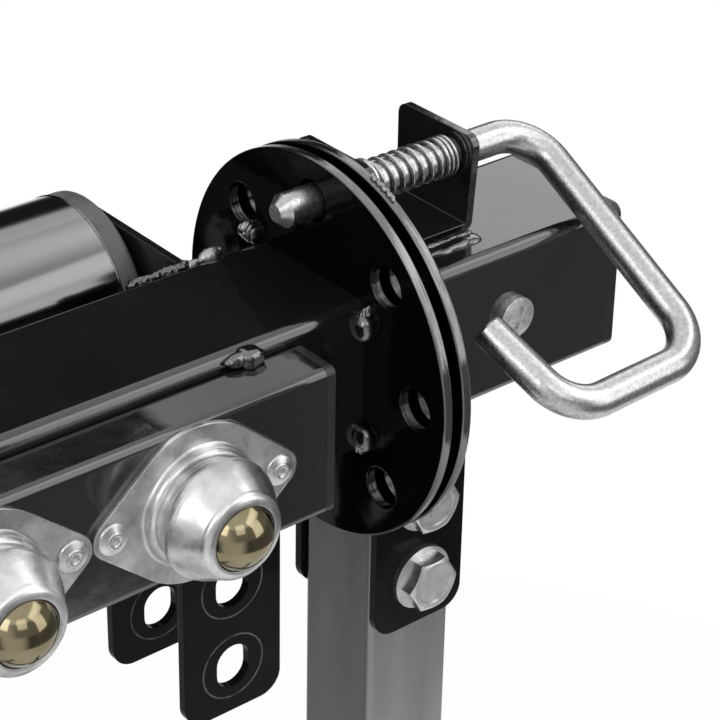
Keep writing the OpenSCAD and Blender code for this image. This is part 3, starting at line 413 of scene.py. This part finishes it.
def black_paint(name, ior=1.85, tilt=None, rings=(), lumpy=False, face_ior=None):
    """Glossy black paint with a slow ripple and fine orange peel. rings are scuffs (x, z, radius) left by
    bolt flanges, tilt leans the side tube's normals as if its faces were bent, lumpy is for weld metal,
    and face_ior is for the flat faces of a disc, which lie deeper in the dark than its turned rim: with it
    those faces, the underside of the rim and the index holes get a painted shade, a near-black colour and
    that lower IOR."""
    material, tree, bsdf = start(name)
    bsdf.inputs["IOR"].default_value = ior
    colour = blend_colour(tree, spread(tree, noise(tree, 18, 3), 0, 1), *PAINT_BLACKS)
    dust = ramp(tree, noise(tree, 900, 2), 0.66, 0.74, 0.0, 0.12)
    rough = maths(tree, "ADD", spread(tree, noise(tree, 35, 4), 0.05, 0.13), dust)
    for x, z, radius in rings:
        colour, rough = scuff(tree, colour, rough, x, z, radius)
    layers = [(noise(tree, scale, 2), depth) for scale, depth in (WELD_BUMPS if lumpy else PAINT_BUMPS)]
    if face_ior:
        # painted shade: the disc's flat faces, the underside of its rim and its index holes are darkened
        # towards near black and given the lower IOR, so they reflect less
        disc_shade = disc_shade_mask(tree)
        colour = blend_colour(tree, disc_shade, colour, DISC_SHADE_BLACK)
        link(tree, blend_value(tree, disc_shade, ior, face_ior), bsdf.inputs["IOR"])
        rim_streaks = noise(tree, 40, 2, (40, 1, 1))
        layers.append((rim_streaks, 0.2 * MM))
    if tilt:
        place = node(tree, "ShaderNodeTexCoord").outputs["Object"]
        layers.append((dot_with(tree, place, tilt), 1.0))
        rise = ramp(tree, rest_axes(tree, "Object")[0], TUBE_RISE_FROM, TUBE_RISE_TO, 0.0, TUBE_RISE)
        layers.append((rise, 1.0))
    link(tree, colour, bsdf.inputs["Base Color"])
    link(tree, rough, bsdf.inputs["Roughness"])
    bumps(tree, bsdf, layers, PAINT_EDGE)
    return material


def metal(name, dark, light, rough, grain=60, stretch=(1, 1, 1), fine=400, depth=0.01 * MM, edge=0.3 * MM,
          streak=None, worn=0.0, side=None, under=None):
    """A metal finish: cloudy colour, uneven roughness and a fine bump. streak is (scale, stretch, share),
    worn is the share of dark pits, side is a painted shade that darkens the faces that look along X to
    that share of light, and under (from, to, share) a painted shade that darkens those whose normals point
    less than that far up."""
    material, tree, bsdf = start(name)
    bsdf.inputs["Metallic"].default_value = 1.0
    share = spread(tree, noise(tree, grain, 4, stretch), 0, 1)
    if streak:
        lines = spread(tree, noise(tree, streak[0], 2, streak[1]), 0, 1)
        share = blend_value(tree, streak[2], share, lines)
    colour = blend_colour(tree, share, dark, light)
    if worn:
        pits = ramp(tree, noise(tree, fine * 2, 3), 0.60, 0.72, 0.0, worn)
        colour = blend_colour(tree, pits, colour, shaded(dark, PIT_SHADE))
    # painted shade: the faces that look along X get a darker share of the light colour
    if side:
        colour = blend_colour(tree, looks_along_x(tree), colour, shaded(light, side))
    # painted shade: faces whose world normals point less far up are darker
    if under:
        up = split_axes(tree, node(tree, "ShaderNodeNewGeometry").outputs["Normal"])[2]
        shade = ramp(tree, up, under[0], under[1], 1.0, 0.0)
        colour = blend_colour(tree, shade, colour, shaded(light, under[2]))
    link(tree, colour, bsdf.inputs["Base Color"])
    link(tree, spread(tree, noise(tree, grain * 2.5, 4, stretch), *rough), bsdf.inputs["Roughness"])
    layers = [(noise(tree, fine, 3, stretch), depth)]
    if streak:
        layers.append((noise(tree, streak[0], 2, streak[1]), depth * 2))
    bumps(tree, bsdf, layers, edge)
    return material


def plastic(name, dark, light, rough, fine=1500, depth=0.02 * MM):
    """Moulded plastic with a fine texture."""
    material, tree, bsdf = start(name)
    colour = blend_colour(tree, spread(tree, noise(tree, 120, 4), 0, 1), dark, light)
    link(tree, colour, bsdf.inputs["Base Color"])
    link(tree, spread(tree, noise(tree, 240, 3), *rough), bsdf.inputs["Roughness"])
    bumps(tree, bsdf, [(noise(tree, fine, 2), depth)], 0.5 * MM)
    return material


FLANGE_RADIUS = 13.1 * MM
SOCKET_RINGS = [(HEAD.x + SOCKET_X * MM, HEAD.z + z * MM, FLANGE_RADIUS) for z in SOCKET_HOLE_ZS]
PAINT = black_paint("black_paint")
PAINT_SIDE = black_paint("black_paint_side", tilt=(-0.10, 0.084, 0.0))
PAINT_BRACKET = black_paint("black_paint_bracket", ior=1.13)
PAINT_SOCKET = black_paint("black_paint_socket", ior=1.13, rings=SOCKET_RINGS)
PAINT_DISC = black_paint("black_paint_disc", ior=2.6, face_ior=1.2)
PAINT_WELD = black_paint("black_paint_weld", ior=2.2, lumpy=True)
PAINT_TACK = black_paint("black_paint_tack", ior=2.4)
RIPPLE = black_paint("black_paint_ripple", ior=3.5, lumpy=True)
BARE_WELD = metal("bare_weld", grey(0.26), grey(0.60), (0.22, 0.4), grain=200, fine=600, depth=0.2 * MM)
ZINC = metal("zinc_plate", (0.52, 0.52, 0.515), (0.76, 0.76, 0.75), (0.26, 0.42),
             grain=160, fine=500, depth=0.03 * MM, worn=0.35)
SCREW_ZINC = metal("zinc_screw", (0.62, 0.62, 0.61), (0.96, 0.96, 0.95), (0.34, 0.55),
                   grain=420, fine=700, depth=0.4 * MM, worn=0.5)
HANDLE = metal("zinc_handle", grey(0.42), (0.62, 0.62, 0.615), (0.22, 0.36),
               grain=650, fine=1300, depth=0.05 * MM, worn=0.5)
PRESSED = metal("pressed_zinc", grey(0.36), grey(0.84), (0.24, 0.40),
                grain=75, fine=900, depth=0.01 * MM, edge=0.6 * MM, worn=0.2)
# its side share darkens the post's faces that look along X, a painted shade
GALVANISED = metal("galvanised", grey(0.22), grey(0.31), (0.24, 0.36),
                   grain=30, stretch=(1, 1, 0.25), fine=300, depth=0.02 * MM, edge=1.2 * MM,
                   streak=(160, (1, 1, 0.015), 0.35), worn=0.2, side=0.36)
# its under setting darkens the roller where its world normals point less far up, a painted shade that dims
# its reflections there
CHROME = metal("roller_chrome", grey(0.19), grey(0.38), (0.08, 0.16),
               grain=25, stretch=(0.08, 1, 1), fine=150, depth=0.004 * MM,
               streak=(110, (0.02, 1, 1), 0.7), under=(0.72, 0.88, 0.42))
GOLD = metal("ball_steel", (0.21, 0.18, 0.105), (0.30, 0.26, 0.165), (0.10, 0.16),
             depth=0.002 * MM, edge=0.0)
STEEL = metal("bearing_steel", grey(0.60), grey(0.72), (0.15, 0.25))
GREY_PLASTIC = plastic("grey_plastic", (0.075, 0.075, 0.078), (0.11, 0.11, 0.115), (0.38, 0.5))
BLACK_PLASTIC = plastic("black_plastic", grey(0.010), grey(0.018), (0.30, 0.42))
RUBBER = plastic("rubber", grey(0.012), grey(0.024), (0.6, 0.75), fine=2200, depth=0.06 * MM)
SPRING = metal("spring_steel", (0.46, 0.46, 0.455), (0.66, 0.66, 0.65), (0.20, 0.32),
               grain=200, fine=900, depth=0.006 * MM, edge=0.0)

FINISH = {
    PAINT: "base_rail foot_tube_left foot_tube_right outer_column column_gussets column_guide clamp_boss "
           "stub_tube plunger_bracket beam_tube roller_plate_right roller_plate_left",
    PAINT_DISC: "stub_disc head_disc",
    PAINT_SIDE: "side_tube",
    PAINT_SOCKET: "socket_bracket",
    PAINT_BRACKET: "post_bracket",
    ZINC: "foot_screws clamp_screw post_bolts post_nuts retaining_nut spring_washer roll_pin "
          "pivot_shaft roller_axle axle_nuts ball_rivets",
    SCREW_ZINC: "retaining_screw",
    HANDLE: "lock_pin",
    PRESSED: "ball_housing_1 ball_housing_2 ball_housing_3 ball_housing_4 ball_cups",
    GALVANISED: "inner_post",
    CHROME: "roller_tube",
    GOLD: "ball_1 ball_2 ball_3 ball_4",
    STEEL: "support_balls roller_bearings",
    GREY_PLASTIC: "roller_cap_right roller_cap_left pivot_bush_front pivot_bush_rear post_slider",
    BLACK_PLASTIC: "beam_end_cap side_tube_caps stub_end_cap foot_end_caps clamp_knob",
    RUBBER: "rubber_feet",
}
for material, names in FINISH.items():
    for name in names.split():
        nodes[name].data.materials.clear()
        nodes[name].data.materials.append(material)


# Makers of pieces
def piece(name, bm, body, material):
    """Makes an object from bm that rides on body."""
    bmesh.ops.recalc_face_normals(bm, faces=bm.faces)
    mesh = bpy.data.meshes.new(name)
    for face in bm.faces:
        face.smooth = True
    bm.to_mesh(mesh)
    bm.free()
    made = bpy.data.objects.new(name, mesh)
    scene.collection.objects.link(made)
    mesh.materials.append(material)
    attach(made, body)
    return made


def spoke(side, other, k, count):
    """The k-th of count directions round a circle, from side towards other."""
    a = math.tau * k / count
    return side * math.cos(a) + other * math.sin(a)


def tube(bm, points, radii, sides=10):
    """A closed tube through points with a radius at each."""
    rings = []
    last = len(points) - 1
    side = None
    for i, point in enumerate(points):
        way = (points[min(i + 1, last)] - points[max(i - 1, 0)]).normalized()
        if side is None:
            side = way.orthogonal().normalized()
        side = (side - way * side.dot(way)).normalized()
        other = way.cross(side)
        rings.append([bm.verts.new(point + spoke(side, other, k, sides) * radii[i]) for k in range(sides)])
    for a, b in zip(rings, rings[1:]):
        for k in range(sides):
            bm.faces.new((a[k], a[(k + 1) % sides], b[(k + 1) % sides], b[k]))
    bm.faces.new(list(reversed(rings[0])))
    bm.faces.new(rings[-1])


def revolve(bm, at, axis, profiles, closed):
    """A skin round axis through at, on profiles of (along, radius) pairs, one for each step of the turn.
    A closed profile joins its last pair to its first."""
    axis = Vector(axis)
    side = axis.orthogonal().normalized()
    other = axis.cross(side)
    rings = []
    for k, profile in enumerate(profiles):
        out = spoke(side, other, k, len(profiles))
        rings.append([bm.verts.new(at + axis * along + out * radius) for along, radius in profile])
    count = len(rings[0])
    for a, b in zip(rings, rings[1:] + rings[:1]):
        for j in range(count if closed else count - 1):
            following = (j + 1) % count
            bm.faces.new((a[j], b[j], b[following], a[following]))


def thread(bm, at, axis, radius, length, pitch):
    """Screw threads as one sharp ridge that winds round a bar from at along axis."""
    segments = 40
    root = radius * 0.90
    turns = max(1, int(length / pitch))
    teeth = [pair for i in range(turns) for pair in ((i * pitch, root), ((i + 0.5) * pitch, radius))]
    teeth.append((turns * pitch, root))
    profiles = []
    for k in range(segments):
        lead = pitch * k / segments - pitch / 2
        profiles.append([(min(max(along + lead, 0.0), length), r) for along, r in teeth])
    revolve(bm, at, axis, profiles, closed=False)


def bead(bm, start_at, end_at, radius, rng, pitch=2.1 * MM):
    """A hand-laid weld bead from one point to another: overlapping ripples with soft ends."""
    step, soft_end = 0.6 * MM, 0.9 * radius
    slow_wave, quick_wave = 260, 700  # radians a metre
    swell_share, ripple_share, wander_share = 0.10, 0.16, 0.05  # of the radius
    length = (end_at - start_at).length
    way = (end_at - start_at).normalized()
    count = max(6, int(length / step))
    points, radii = [], []
    drift = rng.uniform(0, 9)
    for i in range(count + 1):
        along = i / count * length
        ripple = (along / pitch + 0.3 * math.sin(along * quick_wave + drift)) % 1.0
        swell = 1 + swell_share * math.sin(along * slow_wave + drift) + ripple_share * (0.5 - ripple)
        ends = min(1.0, (min(along, length - along) + step / 2) / soft_end)
        sway = Vector((rng.uniform(-1, 1), rng.uniform(-1, 1), rng.uniform(-1, 1)))
        wander = sway * radius * wander_share
        points.append(start_at + way * along + wander)
        radii.append(radius * swell * math.sqrt(max(0.06, ends * (2 - ends))))
    tube(bm, points, radii)


def welds(name, body, lines, radius, seed):
    """A piece of beads along lines, each a little thicker or thinner than the next."""
    rng = random.Random(seed)
    bm = bmesh.new()
    for a, b in lines:
        bead(bm, a, b, radius * rng.uniform(0.9, 1.1), rng)
    piece(name, bm, body, PAINT_WELD)


def blob(bm, at, size, seed, squeeze, bulge=1.0):
    """A lump of weld metal: a sphere of radius size, squeezed, and pushed in and out by four waves
    whose heights are shares of the radius and are scaled by bulge."""
    rng = random.Random(seed)
    phases = [rng.uniform(0, 6.28) for _ in range(4)]
    made = bmesh.ops.create_uvsphere(bm, u_segments=20, v_segments=14, radius=1.0)
    for vert in made["verts"]:
        x, y, z = vert.co
        waves = (0.10 * math.sin(3.1 * x + phases[0]) + 0.09 * math.sin(4.3 * y + phases[1])
                 + 0.10 * math.sin(3.7 * z + phases[2]) + 0.05 * math.sin(8 * x * z + phases[3]))
        shape = Vector((x * squeeze[0], y * squeeze[1], z * squeeze[2]))
        vert.co = at + shape * size * (1 + bulge * waves)


def blobs(name, body, material, table):
    """A piece of blobs, each a row of place and radius in millimetres, seed, squeeze and bulge."""
    bm = bmesh.new()
    for place, size, seed, squeeze, bulge in table:
        blob(bm, head(*place), size * MM, seed, squeeze, bulge)
    piece(name, bm, body, material)


# The return spring
def build_spring():
    """The wound spring, in millimetres: open coils from the washer, then close coils at the fixed ear."""
    wire, radius = 1.4, 7.15
    x0, x1 = 23.8, 62.8
    open_turns, close_turns, close_pitch = 7, 3, 1.95
    open_pitch = (x1 - x0 - 2 * wire - close_turns * close_pitch) / open_turns
    turns = open_turns + close_turns
    end_room = 0.6 * wire
    slack = x1 - x0 - 2 * end_room - open_turns * open_pitch - close_turns * close_pitch
    steps = 28
    points = []
    for i in range(turns * steps + 1):
        t = i / steps
        run = min(t, open_turns) * open_pitch + max(t - open_turns, 0) * close_pitch
        a = math.tau * t
        x = x0 + end_room + run + slack * t / turns
        points.append(head(x, 0, PIN_Z) + Vector((0, math.cos(a), math.sin(a))) * radius * MM)
    bm = bmesh.new()
    tube(bm, points, [wire / 2 * MM] * len(points), sides=12)
    made = piece("return_spring", bm, "mast", SPRING)
    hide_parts("plunger_spring")
    # its fixed end is at the ear, on the pin's axis (PIN_Z), and the pin's travel is 22 mm
    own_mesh(made)


build_spring()

# Welds of the head. Tacks and ripples lie where the beam's corners meet the disc.
CORNERS = ((34.5, 30.8), (-29.8, 21.1), (-31.1, -23.7), (31.0, -24.0))  # y and z
TACK_RADII = (3.3, 5.6, 5.0, 4.6)
RIPPLES = (  # corner, steps along y and z from it, radius
    (0, -3.4, 0.2, 3.0), (0, -1.7, 0.6, 3.5), (0, 0.0, 0.8, 3.8), (0, 1.7, 0.6, 3.6), (0, 3.4, 0.2, 3.0),
    (1, -0.8, 4.4, 2.6), (1, -2.0, 6.0, 2.3), (1, -3.4, 7.2, 2.0), (1, 1.8, 4.6, 1.8),
    (2, 0.0, -4.4, 2.4), (2, 1.8, -5.0, 2.0), (3, 0.6, -4.2, 2.6), (3, -1.4, -4.8, 2.0),
)
blobs("disc_tacks", "head", PAINT_TACK, [
    ((-1.2, y, z), size, 10 + i, (0.75, 1.0, 0.95), 0.35)
    for i, ((y, z), size) in enumerate(zip(CORNERS, TACK_RADII))
])
blobs("disc_ripples", "head", RIPPLE, [
    ((-1.0, CORNERS[corner][0] + y, CORNERS[corner][1] + z), size, 80 + k, (0.9, 0.32, 1.0), 0.5)
    for k, (corner, y, z, size) in enumerate(RIPPLES)
])
# One shaped tack on top of the side tube, and three under it
blobs("side_tube_tacks", "head", PAINT_TACK, [
    ((-50.4, -31.2, 27.2), 4.0, 35, (1.35, 1.15, 0.8), 0.9),
    ((-55.6, -31.0, 27.6), 2.8, 38, (1.5, 1.1, 0.9), 0.6),
    ((-58.8, -30.8, 27.6), 1.9, 39, (1.2, 1.1, 0.9), 0.6),
] + [((x, -30.6, -33.2), 4.0, 40 + i, (2.2, 0.9, 0.8), 1.0) for i, x in enumerate((-140, -230, -320))])

ROLLER_PLATE_XS = (-33, -384.5)
welds("roller_plate_welds", "head", [
    (head(x, 31.0, 28.5), head(x, 31.0, -26)) for x in ROLLER_PLATE_XS
], 2.4 * MM, seed=3)


def build_roller_plate_run():
    """The coarse run on top of the beam beside the right roller plate: a bead under small lumps."""
    lumps, first_x, gap = 14, -56, 1.8
    y, z = 30.4, 29.6
    bm = bmesh.new()
    rng = random.Random(7)
    bead(bm, head(-57, 30.9, 28.6), head(-31, 30.9, 28.6), 2.3 * MM, rng, pitch=3.4 * MM)
    for k in range(lumps):
        at = head(first_x + gap * k + rng.uniform(-0.5, 0.5), y + rng.uniform(-0.8, 0.4),
                  z + rng.uniform(-0.3, 0.4))
        blob(bm, at, rng.uniform(1.0, 1.9) * MM, 60 + k, (1.2, 1.0, 0.7))
    piece("roller_plate_run", bm, "head", PAINT_WELD)


build_roller_plate_run()
blobs("roller_plate_lump", "head", BARE_WELD, [
    ((-29.5, 30.4, 29.0), 1.9, 53, (2.4, 1.0, 0.8), 0.3),
    ((-21.5, 30.2, 29.6), 3.4, 52, (1.6, 0.9, 0.95), 0.3),
])


def bracket_lines(middle):
    """Lines where a bracket's two legs meet the underside of its tube, for a bracket at x = middle."""
    half_leg, leg_y, underside = 18, 23.5, -31.0
    return [(head(middle - half_leg, y, underside), head(middle + half_leg, y, underside))
            for y in (-leg_y, leg_y)]


DISC_X = 13.2  # where the stub tube meets the fixed disc
welds("socket_welds", "head", bracket_lines(SOCKET_X), 1.8 * MM, seed=4)
welds("mast_welds", "mast", bracket_lines(BRACKET_X) + [
    # the lock pin bracket's foot on the stub tube, near side and far side
    (head(19, -13.3, 30.4), head(63, -13.3, 30.4)),
    (head(18, 29.0, 30.4), head(63, 29.0, 30.4)),
    # the stub tube on the fixed disc: top, front and back
    (head(DISC_X, -24, 30.6), head(DISC_X, 24, 30.6)),
    (head(DISC_X, -30.6, 22), head(DISC_X, -30.6, -22)),
    (head(DISC_X, 30.6, 22), head(DISC_X, 30.6, -22)),
], 1.7 * MM, seed=5)

SMEARS = ((33, -14.6, 3.4), (39.5, -15.2, 4.0), (46.5, -15.6, 4.4), (53, -16.2, 4.6), (59, -16.6, 3.6))
blobs("stub_weld_smears", "mast", PAINT_TACK, [
    ((x, y, 30.0), size, 100 + k, (1.5, 0.95, 0.34), 0.7) for k, (x, y, size) in enumerate(SMEARS)
])


def build_stub_disc_bead():
    """A short wavy bead on the fixed disc's rim, in front of the top."""
    rng = random.Random(9)
    middle_x, rim_radius, bead_radius = 10.9, 73.0, 0.95
    steps, first_degrees, degrees_a_step = 25, 14.5, 0.45
    points, radii = [], []
    for k in range(steps):
        angle = math.radians(first_degrees + degrees_a_step * k)
        x = middle_x + 0.5 * math.sin(1.3 * k)
        points.append(head(x, -rim_radius * math.sin(angle), rim_radius * math.cos(angle)))
        radii.append((bead_radius + 0.18 * math.sin(2.1 * k) + rng.uniform(-0.1, 0.1)) * MM)
    bm = bmesh.new()
    tube(bm, points, radii)
    piece("stub_disc_bead", bm, "mast", RIPPLE)


build_stub_disc_bead()


def build_base_welds():
    """Beads at the base rail's ends, round the column's foot and on its gussets, in millimetres."""
    rail_end, rail_half, rail_top = 229.5, 30.4, 50.3
    column, column_side, column_half, seat = 170, 25.6, 25.4, 50.6
    sides, gusset_faces = (-1, 1), (-3.2, 3.2)
    gusset_near, gusset_far, gusset_low, gusset_high = 27, 57, 54, 106

    def line(x, y, z, to_x=None, to_y=None, to_z=None):
        """A line from x, y, z to the coordinates that differ at its other end."""
        ends = [a if b is None else b for a, b in ((x, to_x), (y, to_y), (z, to_z))]
        return floor_point(x, y, z), floor_point(*ends)

    lines = [line(s * rail_end, -28, rail_top, to_y=28) for s in sides]
    lines += [line(s * rail_end, y, 14, to_z=46) for s in sides for y in (-rail_half, rail_half)]
    lines += [line(column - 25, y, seat, to_x=column + 25) for y in (-column_half, column_half)]
    lines += [line(column + s * column_side, -22, seat, to_y=22) for s in sides]
    lines += [line(column + s * gusset_near, y, seat, to_x=column + s * gusset_far)
              for s in sides for y in gusset_faces]
    lines += [line(column + s * column_side, y, gusset_low, to_z=gusset_high)
              for s in sides for y in gusset_faces]
    welds("base_welds", "base", lines, 1.9 * MM, seed=6)


build_base_welds()

# Threads that show past the nuts, and between the clamp's boss and its knob. The M12 ones are drawn
# finer than the standard pitch of 1.75 mm.
M12_RADIUS, M12_SHOWN_PITCH = 6.02 * MM, 1.0 * MM
POST_NUT_Y = 35.2  # the post nuts' outer faces
AXLE_NUT_XS = (-23.5, -397)  # from here the axle's ends show
THREADS = (  # name, body, places, axis, radius, length, pitch
    ("post_bolt_threads", "mast", [head(BRACKET_X, POST_NUT_Y, z) for z in POST_BOLT_ZS],
     (0, 1, 0), M12_RADIUS, 2.3 * MM, M12_SHOWN_PITCH),
    ("clamp_threads", "clamp", [floor_point(211.2, 0, 448)],
     (1, 0, 0), 5.02 * MM, 6.6 * MM, 1.1 * MM),
    ("axle_threads", "head", [head(x, ROLLER_Y, 0) for x in AXLE_NUT_XS],
     (1, 0, 0), M12_RADIUS, 2.9 * MM, M12_SHOWN_PITCH),
)
for name, body, places, axis, radius, length, pitch in THREADS:
    bm = bmesh.new()
    for at in places:
        thread(bm, at, axis, radius, length, pitch)
    piece(name, bm, body, ZINC)


def build_rivet_rings():
    """The raised ring and the core of each of the ball units' rivets."""
    first_unit_x, unit_pitch, rivet_out = -88.3, 81.4, 33.1
    rivet_z, ring_y, core_y = -4.7, -54.3, -53.5
    ring_radius, ring_half_height, ring_half_width, core_radius, steps = 2.4, 0.6, 0.95, 2.2, 32
    angles = [t * math.pi / 5 for t in range(10)]
    ring = [(ring_half_height * math.sin(a) * MM, (ring_radius + ring_half_width * math.cos(a)) * MM)
            for a in angles]
    bm = bmesh.new()
    for unit in range(4):
        for side in (-1, 1):
            x = first_unit_x - unit_pitch * unit + side * rivet_out
            revolve(bm, head(x, ring_y, rivet_z), (0, -1, 0), [ring] * steps, closed=True)
            blob(bm, head(x, core_y, rivet_z), core_radius * MM, 120, (1.0, 0.3, 1.0), bulge=0.2)
    piece("rivet_rings", bm, "head", ZINC)


def build_roller_rims():
    """The roller tube's rolled-in rims beside its caps."""
    rim_xs, rim_radius, half_width, half_height, steps = (-45.3, -372.2), 36.5, 0.45, 0.32, 96
    angles = [t * math.pi / 4 for t in range(8)]
    ring = [(half_width * math.cos(a) * MM, (rim_radius + half_height * math.sin(a)) * MM)
            for a in angles]
    bm = bmesh.new()
    for x in rim_xs:
        revolve(bm, head(x, ROLLER_Y, 0), (1, 0, 0), [ring] * steps, closed=True)
    piece("roller_rims", bm, "roller", CHROME)


build_rivet_rings()
build_roller_rims()
